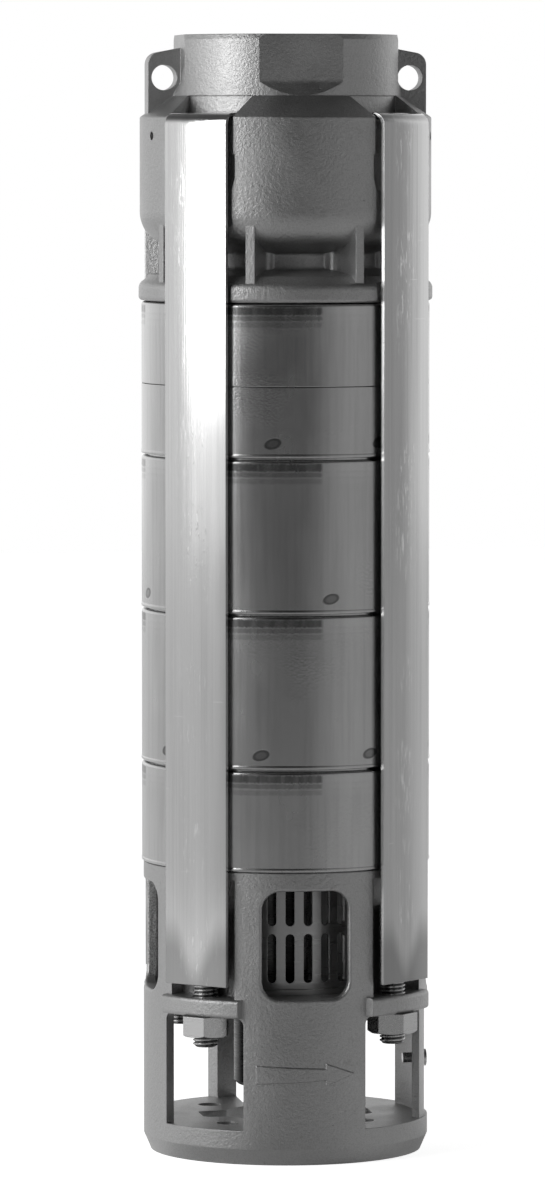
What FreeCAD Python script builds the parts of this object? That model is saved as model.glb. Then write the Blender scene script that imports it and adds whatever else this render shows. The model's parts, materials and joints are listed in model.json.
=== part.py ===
import FreeCAD, Part
import math
import os

# Pump end of a submersible borehole pump: three mixed-flow stages in stacked sheet-steel
# chambers between a cast suction casing and a cast valve casing, held together by four straps.
# Millimetres. Z is the shaft axis, pointing to the discharge; z = 0 is the underside of the base.
# Pillars, windows and lifting ears lie on X and Y, straps and motor bolts on the diagonals.

V = FreeCAD.Vector
ORIGIN = V(0, 0, 0)
UP = V(0, 0, 1)

# Stack of casings, as lengths along the shaft.
suction_length = 114.5
bottom_chamber_length = 40.0
stage_pitch = 60.5
short_chamber_length = 28.0
top_chamber_length = 32.5
valve_casing_length = 104.0
stage_count = 3

# Chambers.
chamber_radius = 56.8
chamber_wall = 2.2
seam_radius = 1.5
plain_seam_edge = 0.3
spigot_depth = 2.5
spigot_wall = 1.8
spigot_clearance = 0.3
step_height = 1.0
band_pitch = 3.1
band_count = 3
band_depth = 0.2
band_half_width = 0.9

# Suction casing.
casting_inset = 0.6
suction_wall = 4.0
base_thickness = 13.5
base_chamfer_width = 2.7
base_chamfer_height = 6.3
pillar_wall = 4.5
ledge_underside = 57.5
ledge_thickness = 7.4
ledge_overhang = 0.7
ledge_half_width = 18.6
ledge_corner = 1.5
deck_hole_radius = 15.0
lower_window_half_width = 18.9
lower_window_corner = 3.0
upper_window_half_width = 17.0
upper_window_margin = 7.1
upper_window_corner = 7.3
window_edge_round = 1.0
channel_side_clearance = 0.55
channel_wall = 2.8
channel_clearance = 0.4
channel_cover = 3.0
inlet_radius = 24.0
inlet_lobe_reach = 34.0
inlet_lobe_half_width = 8.5
inlet_lobe_corner = 3.0
lead_notch_half_width = 12.7
lead_notch_start = 32.0
lead_notch_height = 40.0
lead_notch_corner = 5.0

# Motor flange, to the 4-inch borehole motor standard.
motor_bolt_circle = 76.2
motor_bolt_hole = 8.7
motor_register = 87.4
motor_register_depth = 2.4

# Guard fixing on the right-hand pillar and tapped holes beside the ears.
guard_recess_depth = 1.2
guard_recess_top_gap = 0.5
guard_screw_height = 34.5
guard_screw_radius = 2.0
guard_screw_length = 8.0
guard_head_radius = 3.4
guard_head_height = 1.3
guard_hole_angle = 16.0
guard_hole_height = 64.5
guard_hole_radius = 1.65
guard_hole_depth = 3.0

# Strainer.
strainer_clearance = 7.4
strainer_wall = 1.2
strainer_foot_width = 1.8
strainer_foot_height = 2.1
slot_columns = 32
slot_width = 3.5
slot_start = 4.5
slot_end_margin = 3.4
slot_row_gap = 3.1
slot_rows = 2

# Straps with their welded studs and nuts.
strap_width = 29.5
strap_thickness = 1.5
strap_gap = 0.4
strap_start_above_deck = 5.0
strap_bend_radius = 4.7
hook_clearance = 6.1
hook_lift = 0.1
stud_radius = 5.0
stud_hole_clearance = 0.5
stud_projection = 4.2
stud_end_gap = 14.6
stud_chamfer = 0.8
nut_chamfer = 0.8
nut_across_flats = 17.0
nut_height = 8.0
nut_turn = 2.4

# Valve casing, heights measured up from its lower face.
flange_stand_out = 1.1
flange_height = 6.4
flange_round = 3.5
flange_step = 4.8
waist_cone_start = 10.2
waist_cone_end = 12.6
waist_inset = 19.8
waist_wall = 6.1
waist_top = 19.0
waist_round = 1.5
bowl_stand_out = 0.6
bowl_wall = 5.6
bowl_floor = 3.0
neck_lip = 3.6
bowl_corner = 13.3
bowl_side_start = 37.9
roof_start = 61.5
roof_end = 69.5
throat_step = 1.4
thread_length = 23.9
shoulder_start = 71.8
shoulder_end = 80.1
shoulder_round = 1.0
collar_inset = 12.1
collar_flat_depth = 3.1
collar_flat_start = 85.5
collar_flat_round = 3.0
collar_wall = 4.6
collar_bevel_width = 0.8
collar_bevel_height = 2.0
cage_recess_inset = 5.6
cage_recess_depth = 2.5
seat_recess_step = 3.5
seat_recess_top = 10.0
gusset_thickness = 3.6
gusset_angle = 22.4
gusset_inset = 0.9
gusset_top = 33.0
gusset_root_width = 3.2
gusset_root_round = 2.5
groove_depth = 2.6
groove_side_clearance = 0.3
notch_depth = 4.0
notch_side_clearance = 1.65
notch_start = 43.4
notch_shoulder = 48.2
notch_end = 57.4
pocket_side_clearance = 0.95
pocket_undercut = 0.7
pocket_bend_radius = 3.8

# Lifting ears.
ear_thickness = 10.6
ear_edge_inset = 2.2
ear_root = 12.0
ear_root_height = 67.8
ear_top_inner = 99.9
ear_top_outer = 96.4
ear_corner = 4.8
ear_hole_radius = 5.0
ear_hole_inset = 8.6
ear_hole_height = 87.3

# Shaft and coupling.
shaft_radius = 9.0
shaft_start = 43.0
shaft_above_last_joint = 27.5
shaft_chamfer = 1.0
coupling_radius = 20.5
coupling_start = 25.5
coupling_gap_to_deck = 2.5
coupling_lead_in_radius = 8.4
coupling_lead_in_depth = 3.0
spline_teeth = 14
spline_minor_radius = 7.0
spline_major_radius = 8.0
spline_groove_half_angle = 6.4
shaft_socket_gap = 1.0
coupling_chamfer = 1.5
stop_ring_radius = 15.0
stop_ring_height = 5.0

# Impellers, heights measured up from the lower edge of the eye skirt.
impeller_gap = 4.6
impeller_height = 24.0
impeller_from_joint = 26.0
eye_radius = 26.3
eye_wall = 1.5
eye_skirt = 7.0
shroud_wall = 1.5
shroud_edge = 15.2
hub_radius = 15.6
hub_start = 3.0
back_plate_edge = 22.4
back_plate_root = 9.0
blade_count = 6
blade_thickness = 1.6
blade_start_radius = 18.5
blade_wrap = 78.0
blade_sink = 0.7
hub_flare = 1.5
running_gap = 0.3
hub_boss_height = 8.0

# Split cones and their nuts.
cone_lower_radius = 12.9
cone_upper_radius = 11.6
cone_slit = 1.4
cone_nut_flats = 30.0
cone_nut_height = 6.0

# Guide vane units and bearings, heights measured up from the step that they rest on.
vane_count = 8
vane_thickness = 1.8
vane_wrap = -52.0
vane_height = 22.0
vane_bowl_inset = 5.0
vane_hub_radius = 18.5
vane_hub_wall = 1.2
vane_bowl_wall = 2.2
eye_plate_thickness = 2.0
eye_collar_wall = 1.7
eye_collar_height = 6.0
eye_edge = 1.2
eye_axial_gap = 0.5
neck_ring_wall = 2.9
neck_ring_height = 6.5
neck_ring_lip = 1.2
neck_ring_floor = 0.3
bearing_radius = 14.0
bearing_length = 22.0
bearing_flutes = 6
bearing_flute_radius = 1.6
bearing_clearance = 0.06
bearing_from_step = 2.0
vane_unit_clearance = 0.1
vane_sink = 0.5
vane_bowl_run = 6.0
vane_shoulder_drop = 3.0

# Check valve.
seat_wall = 5.5
seat_clearance = 0.2
press_clearance = 0.1
seat_flange_height = 4.8
seat_above_waist = 0.4
cup_overhang = 1.0
cup_floor = 3.0
cup_wall = 2.4
cup_height = 10.0
cup_boss_radius = 8.0
cup_edge = 1.0
cup_corner = 2.0
seal_inset = 1.2
seal_thickness = 2.4
seal_overhang = 1.0
valve_stem_radius = 5.0
valve_lift = 16.0
cage_ring_width = 4.8
cage_rim_width = 4.5
cage_arm_count = 4
cage_arm_thickness = 3.6
cage_arm_drop = 4.0
cage_hub_radius = 9.0
cage_hub_length = 10.0
cage_thickness = 2.5
stem_clearance = 0.06
lift_stop_flats = 15.0
lift_stop_height = 6.0
stem_tail = 4.0

# Heights that follow from the stack.
deck_top = ledge_underside + ledge_thickness
joint_heights = [suction_length + bottom_chamber_length + stage_pitch * i for i in range(stage_count)]
short_joint = joint_heights[-1] + short_chamber_length
valve_casing_base = short_joint + top_chamber_length
overall_height = valve_casing_base + valve_casing_length
impeller_heights = [z - stage_pitch + impeller_from_joint for z in joint_heights]

# Radii and places that follow from neighbours.
bore_radius = chamber_radius - chamber_wall
strap_inner = chamber_radius + strap_gap
strap_outer = strap_inner + strap_thickness
suction_radius = chamber_radius - casting_inset
ledge_radius = strap_outer + ledge_overhang
clear_of_all = ledge_radius + 5
nearly = 0.01
stud_circle = strap_inner - stud_radius
channel_floor = stud_circle - stud_radius - channel_clearance
channel_inside = channel_floor - channel_wall
channel_half_width = strap_width / 2 + channel_side_clearance
window_top = suction_length - upper_window_margin
strainer_radius = channel_inside - strainer_clearance
strainer_bore = strainer_radius - strainer_wall
strainer_foot_radius = strainer_radius + strainer_foot_width
slotted_length = suction_length - deck_top - slot_start - slot_end_margin
slot_length = (slotted_length - slot_row_gap * (slot_rows - 1)) / slot_rows
flange_radius = chamber_radius + flange_stand_out
bowl_radius = chamber_radius + bowl_stand_out
waist_radius = bowl_radius - waist_inset
neck_bore_radius = waist_radius - waist_wall
collar_radius = bowl_radius - collar_inset
collar_apothem = collar_radius - collar_flat_depth
thread_radius = collar_apothem - collar_wall
throat_radius = thread_radius - throat_step
pocket_back = collar_radius - pocket_undercut
pocket_half_width = strap_width / 2 + pocket_side_clearance
groove_floor = strap_inner - groove_depth
groove_half_width = strap_width / 2 + groove_side_clearance
notch_floor = strap_inner - notch_depth
notch_half_width = strap_width / 2 + notch_side_clearance
cage_recess_radius = bore_radius - cage_recess_inset
seat_recess_radius = neck_bore_radius + seat_recess_step
ear_hole_from_axis = bowl_radius - ear_hole_inset
hook_underside = valve_casing_base + shoulder_start + hook_lift
hook_top = hook_underside + strap_thickness
impeller_radius = bore_radius - impeller_gap
vane_bowl_radius = impeller_radius - vane_bowl_inset
neck_ring_bore = eye_radius + running_gap
neck_ring_outer = neck_ring_bore + neck_ring_wall
seat_top = valve_casing_base + waist_top + seat_above_waist
seat_bore_radius = neck_bore_radius - seat_wall
seat_flange_radius = seat_recess_radius - seat_clearance
cup_radius = neck_bore_radius + cup_overhang
cage_hub_top = valve_casing_base + cage_recess_depth + cage_thickness
cage_hub_bottom = cage_hub_top - cage_hub_length
lift_stop_top = cage_hub_bottom - valve_lift
coupling_end = ledge_underside - coupling_gap_to_deck


def outline(corners, lift):
    """Closed face through corners (u, v) or (u, v, radius); lift turns u and v into a point."""
    spots = [V(c[0], c[1], 0) for c in corners]
    edges = []
    last = None
    first = None
    for i, corner in enumerate(corners):
        here = spots[i]
        start = here
        end = here
        if len(corner) > 2 and corner[2] > 0:
            back = (spots[i - 1] - here).normalize()
            ahead = (spots[(i + 1) % len(spots)] - here).normalize()
            half = back.getAngle(ahead) / 2
            middle = (back + ahead).normalize()
            run = corner[2] / math.tan(half)
            start = here + back * run
            end = here + ahead * run
            bulge = here + middle * (corner[2] / math.sin(half) - corner[2])
            arc = Part.Arc(lift(start.x, start.y), lift(bulge.x, bulge.y), lift(end.x, end.y)).toShape()
        if last is not None:
            edges.append(Part.makeLine(lift(last.x, last.y), lift(start.x, start.y)))
        if end is not here:
            edges.append(arc)
        if first is None:
            first = start
        last = end
    edges.append(Part.makeLine(lift(last.x, last.y), lift(first.x, first.y)))
    return Part.Face(Part.Wire(edges))


def turned(corners):
    """Solid turned about the shaft axis from (radius, height) corners."""
    return outline(corners, lambda r, z: V(r, 0, z)).revolve(ORIGIN, UP, 360)


def ring(outer, inner, low, high):
    """Plain ring; an inner radius of 0 gives a disc."""
    return turned([(inner, low), (outer, low), (outer, high), (inner, high)])


def plate(corners, low, high):
    """Flat outline in X and Y, carried from one height to another."""
    return outline(corners, lambda x, y: V(x, y, low)).extrude(V(0, 0, high - low))


def opening(half_width, low, high, corner, reach_from, reach_to):
    """Bar with a rounded rectangular section that looks along +X, for cutting windows."""
    corners = [(-half_width, low, corner), (half_width, low, corner),
               (half_width, high, corner), (-half_width, high, corner)]
    face = outline(corners, lambda side, z: V(reach_from, side, z))
    return face.extrude(V(reach_to - reach_from, 0, 0))


def block(reach_from, reach_to, half_width, low, high):
    """Box that lies along +X, centred on it."""
    return Part.makeBox(reach_to - reach_from, 2 * half_width, high - low,
                        V(reach_from, -half_width, low))


def across(corners, half_width):
    """Outline in radius and height, carried sideways by half a width each way."""
    return outline(corners, lambda r, z: V(r, -half_width, z)).extrude(V(0, 2 * half_width, 0))


def swung(shape, angle):
    """Copy of a shape turned about the shaft axis, in degrees."""
    copy = shape.copy()
    copy.rotate(ORIGIN, UP, angle)
    return copy


def pattern(shape, count, start=0.0):
    """Copies of a shape spaced evenly round the shaft axis."""
    return [swung(shape, start + 360.0 * i / count) for i in range(count)]


def rod(radius, low, high, from_axis=0.0, angle=0.0):
    """Upright round bar at a distance from the shaft axis."""
    return swung(Part.makeCylinder(radius, high - low, V(from_axis, 0, low)), angle)


def hexagon(flats, low, high):
    """Hexagonal bar with a flat facing +X."""
    corner = flats / math.sqrt(3)
    angles = [math.radians(30 + 60 * i) for i in range(6)]
    return plate([(corner * math.cos(a), corner * math.sin(a)) for a in angles], low, high)


def curved_vane(inner, outer, wrap, thickness, low, high):
    """Upright vane that sweeps through an angle as it runs outwards."""
    def along(share, shift):
        radius = inner + (outer - inner) * share
        angle = math.radians(wrap * share) + shift
        return V(radius * math.cos(angle), radius * math.sin(angle), low)
    turn = 2 * thickness / (inner + outer)
    front = Part.Arc(along(0, 0), along(0.5, 0), along(1, 0)).toShape()
    back = Part.Arc(along(0, turn), along(0.5, turn), along(1, turn)).toShape()
    edges = [front, Part.makeLine(along(1, 0), along(1, turn)),
             back, Part.makeLine(along(0, turn), along(0, 0))]
    face = Part.Face(Part.Wire(Part.__sortEdges__(edges)))
    return face.extrude(V(0, 0, high - low))


def window_edges(casing):
    """Outer edges of the four inlet windows of a cut suction casing."""
    found = []
    for edge in casing.Edges:
        first, last = edge.ParameterRange
        spots = [edge.valueAt(first + (last - first) * share) for share in (0.0, 0.5, 1.0)]
        if all(abs(math.hypot(p.x, p.y) - suction_radius) < nearly
               and deck_top - nearly < p.z < window_top + nearly
               and min(abs(p.x), abs(p.y)) < upper_window_half_width + nearly for p in spots):
            found.append(edge)
    return found


def suction_casing():
    """Cast inlet casing: motor flange, four pillars, deck and slotted-window strainer housing."""
    top = suction_length
    rim = suction_radius - base_chamfer_width
    body = turned([(0, 0), (rim, 0), (suction_radius, base_chamfer_height), (suction_radius, top), (0, top)])
    ledge = turned([(channel_floor, ledge_underside), (ledge_radius, ledge_underside, ledge_corner),
                    (ledge_radius, deck_top, ledge_corner), (channel_floor, deck_top)])
    arms = pattern(block(0, clear_of_all, ledge_half_width, ledge_underside, deck_top), 4, 45)
    body = body.fuse([ledge.common(arm) for arm in arms])

    compartment = ring(suction_radius - pillar_wall, 0, base_thickness, ledge_underside)
    chamber = ring(suction_radius - suction_wall, 0, deck_top, top + 1)
    walls = pattern(block(channel_inside, clear_of_all, channel_half_width + channel_wall,
                          deck_top, top + 1), 4, 45)
    channel = block(channel_floor, clear_of_all, channel_half_width, deck_top, top - channel_cover)
    corners = [(-lower_window_half_width, base_thickness), (lower_window_half_width, base_thickness),
               (lower_window_half_width, ledge_underside, lower_window_corner),
               (-lower_window_half_width, ledge_underside, lower_window_corner)]
    lower = outline(corners, lambda side, z: V(inlet_lobe_reach, side, z)).extrude(V(clear_of_all, 0, 0))
    upper = opening(upper_window_half_width, deck_top, window_top, upper_window_corner,
                    strainer_foot_radius, clear_of_all)
    lobe = plate([(0, -inlet_lobe_half_width),
                  (inlet_lobe_reach, -inlet_lobe_half_width, inlet_lobe_corner),
                  (inlet_lobe_reach, inlet_lobe_half_width, inlet_lobe_corner),
                  (0, inlet_lobe_half_width)], -1, base_thickness + 1)
    notch = opening(lead_notch_half_width, -lead_notch_height, lead_notch_height, lead_notch_corner,
                    lead_notch_start, clear_of_all)
    bolt_hole = rod(motor_bolt_hole / 2, -1, base_thickness + 1, motor_bolt_circle / 2)
    stud_hole = rod(stud_radius + stud_hole_clearance, ledge_underside - 1, deck_top + 1, stud_circle)
    recess = ring(clear_of_all, suction_radius - guard_recess_depth, base_thickness,
                  ledge_underside - guard_recess_top_gap)
    recess = recess.common(block(0, clear_of_all, suction_radius / 2, 0, ledge_underside))
    screw_hole = Part.makeCylinder(guard_screw_radius, clear_of_all, V(0, 0, guard_screw_height), V(1, 0, 0))
    screw_hole = screw_hole.cut(rod(suction_radius / 2, 0, ledge_underside))
    cuts = [compartment, chamber.cut(walls), rod(inlet_radius, -1, base_thickness + 1),
            rod(deck_hole_radius, ledge_underside - 1, deck_top + 1),
            rod(motor_register / 2, -1, motor_register_depth), swung(notch, 90), recess, screw_hole]
    cuts += pattern(channel, 4, 45)
    cuts += pattern(lower, 4, 45)
    cuts += pattern(upper, 4)
    cuts += pattern(lobe, 4)
    cuts += pattern(bolt_hole, 4, 45)
    cuts += pattern(stud_hole, 4, 45)
    casing = body.cut(cuts).Solids[0]
    return casing.makeFillet(window_edge_round, window_edges(casing))


def strainer():
    """Slotted sleeve that stands on the deck inside the suction casing."""
    sleeve = turned([(strainer_bore, deck_top), (strainer_foot_radius, deck_top),
                     (strainer_foot_radius, deck_top + strainer_foot_height),
                     (strainer_radius, deck_top + strainer_foot_height),
                     (strainer_radius, suction_length), (strainer_bore, suction_length)])
    slots = []
    for row in range(slot_rows):
        low = deck_top + slot_start + row * (slot_length + slot_row_gap)
        slot = opening(slot_width / 2, low, low + slot_length, slot_width / 2 - nearly,
                       strainer_bore - strainer_wall, clear_of_all)
        slots += pattern(slot, slot_columns, 180.0 / slot_columns)
    return sleeve.cut(slots)


def chamber_side(low, high, low_lip, high_lip):
    """Outer corners of a chamber, with rolled bands below an upper seam that has a rounded lip."""
    corners = [(chamber_radius, low, low_lip)]
    for i in range(band_count if high_lip == seam_radius else 0, 0, -1):
        middle = high - band_pitch * i
        corners += [(chamber_radius, middle - band_half_width), (chamber_radius - band_depth, middle),
                    (chamber_radius, middle + band_half_width)]
    return corners + [(chamber_radius, high, high_lip)]


def chamber(low, high, top_bore=None, low_lip=seam_radius, high_lip=seam_radius):
    """Pressed chamber with a spigot below and a step that carries its guide vanes."""
    spigot = bore_radius - spigot_clearance
    step = spigot - spigot_wall
    return turned([(step, low - spigot_depth), (spigot, low - spigot_depth), (spigot, low)]
                  + chamber_side(low, high, low_lip, high_lip)
                  + [(top_bore or bore_radius, high), (bore_radius, low + step_height + vane_height),
                     (bore_radius, low + step_height), (step, low + step_height)])


def bottom_chamber():
    """Lowest chamber, with the inlet plate and the collar of the first neck ring."""
    low = suction_length
    high = joint_heights[0]
    eye = impeller_heights[0] - eye_axial_gap
    lip = neck_ring_bore - neck_ring_lip
    collar_outer = neck_ring_outer + eye_collar_wall
    return turned([(lip, eye - eye_edge), (strainer_bore, low)]
                  + chamber_side(low, high, seam_radius, seam_radius)
                  + [(bore_radius, high), (bore_radius, eye + eye_plate_thickness),
                     (collar_outer, eye + eye_plate_thickness), (collar_outer, eye + eye_collar_height),
                     (neck_ring_outer, eye + eye_collar_height), (neck_ring_outer, eye), (lip, eye)])


def neck_ring(base):
    """Wear ring round an impeller eye, with a lip below the skirt."""
    low = base - eye_axial_gap
    return turned([(neck_ring_bore - neck_ring_lip, low), (neck_ring_outer, low),
                   (neck_ring_outer, low + neck_ring_height), (neck_ring_bore, low + neck_ring_height),
                   (neck_ring_bore, low + neck_ring_floor),
                   (neck_ring_bore - neck_ring_lip, low + neck_ring_floor)])


def impeller(base):
    """Mixed-flow impeller: hub and back plate, front shroud with eye skirt, and swept blades."""
    tip = impeller_radius
    eye_inside = eye_radius - eye_wall
    back = turned([(cone_lower_radius, base + hub_start), (hub_radius, base + hub_start),
                   (hub_radius + hub_flare, base + back_plate_root), (tip, base + back_plate_edge),
                   (tip, base + impeller_height),
                   (hub_radius + 2 * hub_flare, base + back_plate_root + 2 * shroud_wall),
                   (hub_radius, base + impeller_height - hub_boss_height),
                   (hub_radius, base + impeller_height),
                   (cone_upper_radius, base + impeller_height)])
    shroud = turned([(eye_inside, base), (eye_radius, base), (eye_radius, base + eye_skirt),
                     (tip, base + shroud_edge), (tip, base + shroud_edge + shroud_wall),
                     (eye_inside, base + eye_skirt + shroud_wall)])
    passage = turned([(blade_start_radius, base + back_plate_root + blade_sink),
                      (eye_inside, base + eye_skirt + blade_sink), (tip, base + shroud_edge + blade_sink),
                      (tip, base + back_plate_edge + blade_sink)])
    vane = curved_vane(blade_start_radius - hub_flare, tip + 1, -blade_wrap, blade_thickness, base,
                       base + impeller_height)
    blades = [copy.common(passage) for copy in pattern(vane, blade_count)]
    return back.fuse([shroud] + blades)


def split_cone(base):
    """Slit clamping cone between the shaft and an impeller hub."""
    low = base + hub_start
    high = base + impeller_height
    cone = turned([(shaft_radius, low), (cone_lower_radius, low), (cone_upper_radius, high),
                   (cone_upper_radius, high + cone_nut_height), (shaft_radius, high + cone_nut_height)])
    return cone.cut(block(0, cone_lower_radius + 1, cone_slit / 2, low - 1, high + cone_nut_height + 1))


def cone_nut(base):
    """Hexagon nut that draws a split cone into its hub."""
    low = base + impeller_height
    nut = hexagon(cone_nut_flats, low, low + cone_nut_height)
    return nut.cut(rod(cone_upper_radius, low - 1, low + cone_nut_height + 1))


def guide_vanes(joint, feeds_impeller):
    """Return guide: bowl-shaped hub, swept vanes and the plate with the next impeller's eye."""
    base = joint + step_height
    rim = bore_radius - vane_unit_clearance
    plate_low = base + vane_height
    bearing_low = base + bearing_from_step
    hub = turned([(bearing_radius, bearing_low), (vane_hub_radius - vane_hub_wall, bearing_low),
                  (vane_hub_radius - vane_hub_wall, plate_low - vane_bowl_run),
                  (vane_bowl_radius - vane_bowl_wall, base), (vane_bowl_radius, base),
                  (vane_bowl_radius, base + vane_bowl_wall), (vane_hub_radius, plate_low - vane_shoulder_drop),
                  (vane_hub_radius, bearing_low + bearing_length),
                  (bearing_radius, bearing_low + bearing_length)])
    if feeds_impeller:
        collar_outer = neck_ring_outer + eye_collar_wall
        lip = neck_ring_bore - neck_ring_lip
        seat = joint + impeller_from_joint - eye_axial_gap
        cover = turned([(lip, plate_low), (rim, plate_low), (rim, plate_low + eye_plate_thickness),
                        (collar_outer, plate_low + eye_plate_thickness), (collar_outer, seat + eye_collar_height),
                        (neck_ring_outer, seat + eye_collar_height), (neck_ring_outer, seat), (lip, seat)])
    else:
        cover = ring(rim, neck_ring_outer, plate_low, plate_low + eye_plate_thickness)
    vane = curved_vane(vane_hub_radius - vane_hub_wall, bore_radius + vane_thickness, vane_wrap,
                       vane_thickness, base, plate_low + vane_sink)
    room = turned([(vane_hub_radius - vane_sink, plate_low - vane_shoulder_drop - vane_sink),
                   (vane_bowl_radius - vane_sink, base + vane_bowl_wall - vane_sink),
                   (vane_bowl_radius - vane_sink, base), (rim, base), (rim, plate_low + vane_sink),
                   (vane_hub_radius - vane_sink, plate_low + vane_sink)])
    vanes = [copy.common(room) for copy in pattern(vane, vane_count)]
    return hub.fuse([cover] + vanes)


def bearing(joint):
    """Fluted rubber bearing in the hub of a guide vane unit."""
    low = joint + step_height + bearing_from_step
    bore = shaft_radius + bearing_clearance
    sleeve = ring(bearing_radius, bore, low, low + bearing_length)
    flute = rod(bearing_flute_radius, low - 1, low + bearing_length + 1, bore)
    return sleeve.cut(pattern(flute, bearing_flutes))


def valve_casing():
    """Cast discharge head: flange, ribbed waist, bowl, strap pockets, threaded collar and ears."""
    base = valve_casing_base
    top = overall_height
    body = turned([(0, base), (flange_radius, base, seam_radius),
                   (flange_radius, base + flange_height, flange_round),
                   (flange_radius - flange_step, base + waist_cone_start, shoulder_round),
                   (waist_radius, base + waist_cone_end, waist_round),
                   (waist_radius, base + waist_top, waist_round),
                   (bowl_radius, base + bowl_side_start - bowl_corner, bowl_corner),
                   (bowl_radius, base + shoulder_start, shoulder_round),
                   (collar_radius, base + shoulder_end), (0, base + shoulder_end)])
    collar = turned([(0, base + shoulder_start), (collar_radius, base + shoulder_start),
                     (collar_radius, top - collar_bevel_height), (collar_radius - collar_bevel_width, top),
                     (0, top)])
    flat = across([(collar_radius, base + shoulder_end),
                   (collar_apothem, base + collar_flat_start, collar_flat_round), (collar_apothem, top + 1),
                   (clear_of_all, top + 1), (clear_of_all, base + shoulder_end)], collar_radius)
    collar = collar.cut(pattern(flat, 4))
    ear_start = ear_hole_from_axis - ear_root
    ear_reach = bowl_radius - ear_edge_inset
    ear = across([(ear_start, base + ear_root_height), (ear_reach, base + ear_root_height),
                  (ear_reach, base + ear_top_outer, ear_corner), (ear_start, base + ear_top_inner)],
                 ear_thickness / 2)
    half = gusset_thickness / 2
    root = half + gusset_root_width
    web = plate([(waist_radius - waist_wall / 2, -root), (waist_radius, -root, shoulder_round),
                 (waist_radius + 1, -half, gusset_root_round), (bowl_radius - gusset_inset, -half),
                 (bowl_radius - gusset_inset, half), (waist_radius + 1, half, gusset_root_round),
                 (waist_radius, root, shoulder_round), (waist_radius - waist_wall / 2, root)],
                base + flange_height, base + gusset_top)
    gussets = pattern(web, 4, gusset_angle) + pattern(web, 4, -gusset_angle)
    body = body.fuse([collar] + pattern(ear, 2) + gussets)

    bowl_bore = bowl_radius - bowl_wall
    cavity = turned([(0, base - 1), (cage_recess_radius, base - 1),
                     (cage_recess_radius, base + cage_recess_depth),
                     (seat_recess_radius, base + cage_recess_depth),
                     (seat_recess_radius, base + seat_recess_top), (neck_bore_radius, base + seat_recess_top),
                     (neck_bore_radius, base + waist_top), (neck_bore_radius + neck_lip, base + waist_top),
                     (bowl_bore, base + bowl_side_start - bowl_corner + bowl_floor, bowl_corner - bowl_floor),
                     (bowl_bore, base + roof_start), (throat_radius, base + roof_end),
                     (throat_radius, top - thread_length), (thread_radius, top - thread_length),
                     (thread_radius, top + 1), (0, top + 1)])
    pocket = across([(0, hook_underside), (groove_floor, hook_underside, pocket_bend_radius),
                     (groove_floor, base + notch_end), (clear_of_all, base + notch_end),
                     (clear_of_all, base + shoulder_end), (0, base + shoulder_end)], pocket_half_width)
    pocket = pocket.cut(rod(pocket_back, base, top))
    groove = block(groove_floor, clear_of_all, groove_half_width, base - 1, base + notch_end)
    notch = outline([(-groove_half_width, base + notch_start), (groove_half_width, base + notch_start),
                     (notch_half_width, base + notch_shoulder), (notch_half_width, base + notch_end),
                     (-notch_half_width, base + notch_end), (-notch_half_width, base + notch_shoulder)],
                    lambda side, z: V(notch_floor, side, z)).extrude(V(clear_of_all, 0, 0))
    ear_hole = Part.makeCylinder(ear_hole_radius, 2 * ear_thickness,
                                 V(ear_hole_from_axis, -ear_thickness, base + ear_hole_height), V(0, 1, 0))
    guard_hole = Part.makeCylinder(guard_hole_radius, clear_of_all,
                                   V(bowl_radius - guard_hole_depth, 0, base + guard_hole_height), V(1, 0, 0))
    cuts = [cavity] + pattern(ear_hole, 2)
    for cut in (pocket, notch, groove):
        cuts += pattern(cut, 4, 45)
    cuts += pattern(guard_hole, 2, guard_hole_angle) + pattern(guard_hole, 2, -guard_hole_angle)
    return body.cut(cuts)


def strap():
    """Strap with its top bent inwards over the valve casing, on the +X side."""
    low = deck_top + strap_start_above_deck
    hook_end = pocket_back + hook_clearance
    return across([(strap_inner, low), (strap_outer, low), (strap_outer, hook_top, strap_bend_radius),
                   (hook_end, hook_top), (hook_end, hook_underside),
                   (strap_inner, hook_underside, strap_bend_radius - strap_thickness)], strap_width / 2)


def strap_stud():
    """Stud welded to the inside of a strap, on the +X side."""
    low = ledge_underside - nut_height - stud_projection
    high = suction_length - stud_end_gap
    stud = turned([(0, low), (stud_radius - stud_chamfer, low), (stud_radius, low + stud_chamfer),
                   (stud_radius, high), (0, high)])
    stud.translate(V(stud_circle, 0, 0))
    return stud


def strap_nuts():
    """The four nuts under the ledges, as one group."""
    nut = hexagon(nut_across_flats, ledge_underside - nut_height, ledge_underside)
    corner = nut_across_flats / math.sqrt(3)
    low = ledge_underside - nut_height
    crown = turned([(stud_radius, low), (nut_across_flats / 2, low), (corner, low + nut_chamfer),
                    (corner, ledge_underside), (stud_radius, ledge_underside)])
    nut = swung(nut.common(crown), nut_turn)
    nut.translate(V(stud_circle, 0, 0))
    return Part.makeCompound(pattern(nut, 4, 45))


def guard_screw():
    """Pan-head screw in the recessed pillar."""
    seat = suction_radius - guard_recess_depth
    height = guard_screw_height
    shank = Part.makeCylinder(guard_screw_radius, guard_screw_length, V(seat - guard_screw_length, 0, height),
                              V(1, 0, 0))
    head = Part.makeCylinder(guard_head_radius, guard_head_height, V(seat, 0, height), V(1, 0, 0))
    return shank.fuse(head)


def shaft():
    """Pump shaft from the coupling to above the last guide vane unit."""
    high = joint_heights[-1] + shaft_above_last_joint
    return turned([(0, shaft_start), (shaft_radius, shaft_start), (shaft_radius, high - shaft_chamfer),
                   (shaft_radius - shaft_chamfer, high), (0, high)])


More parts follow.
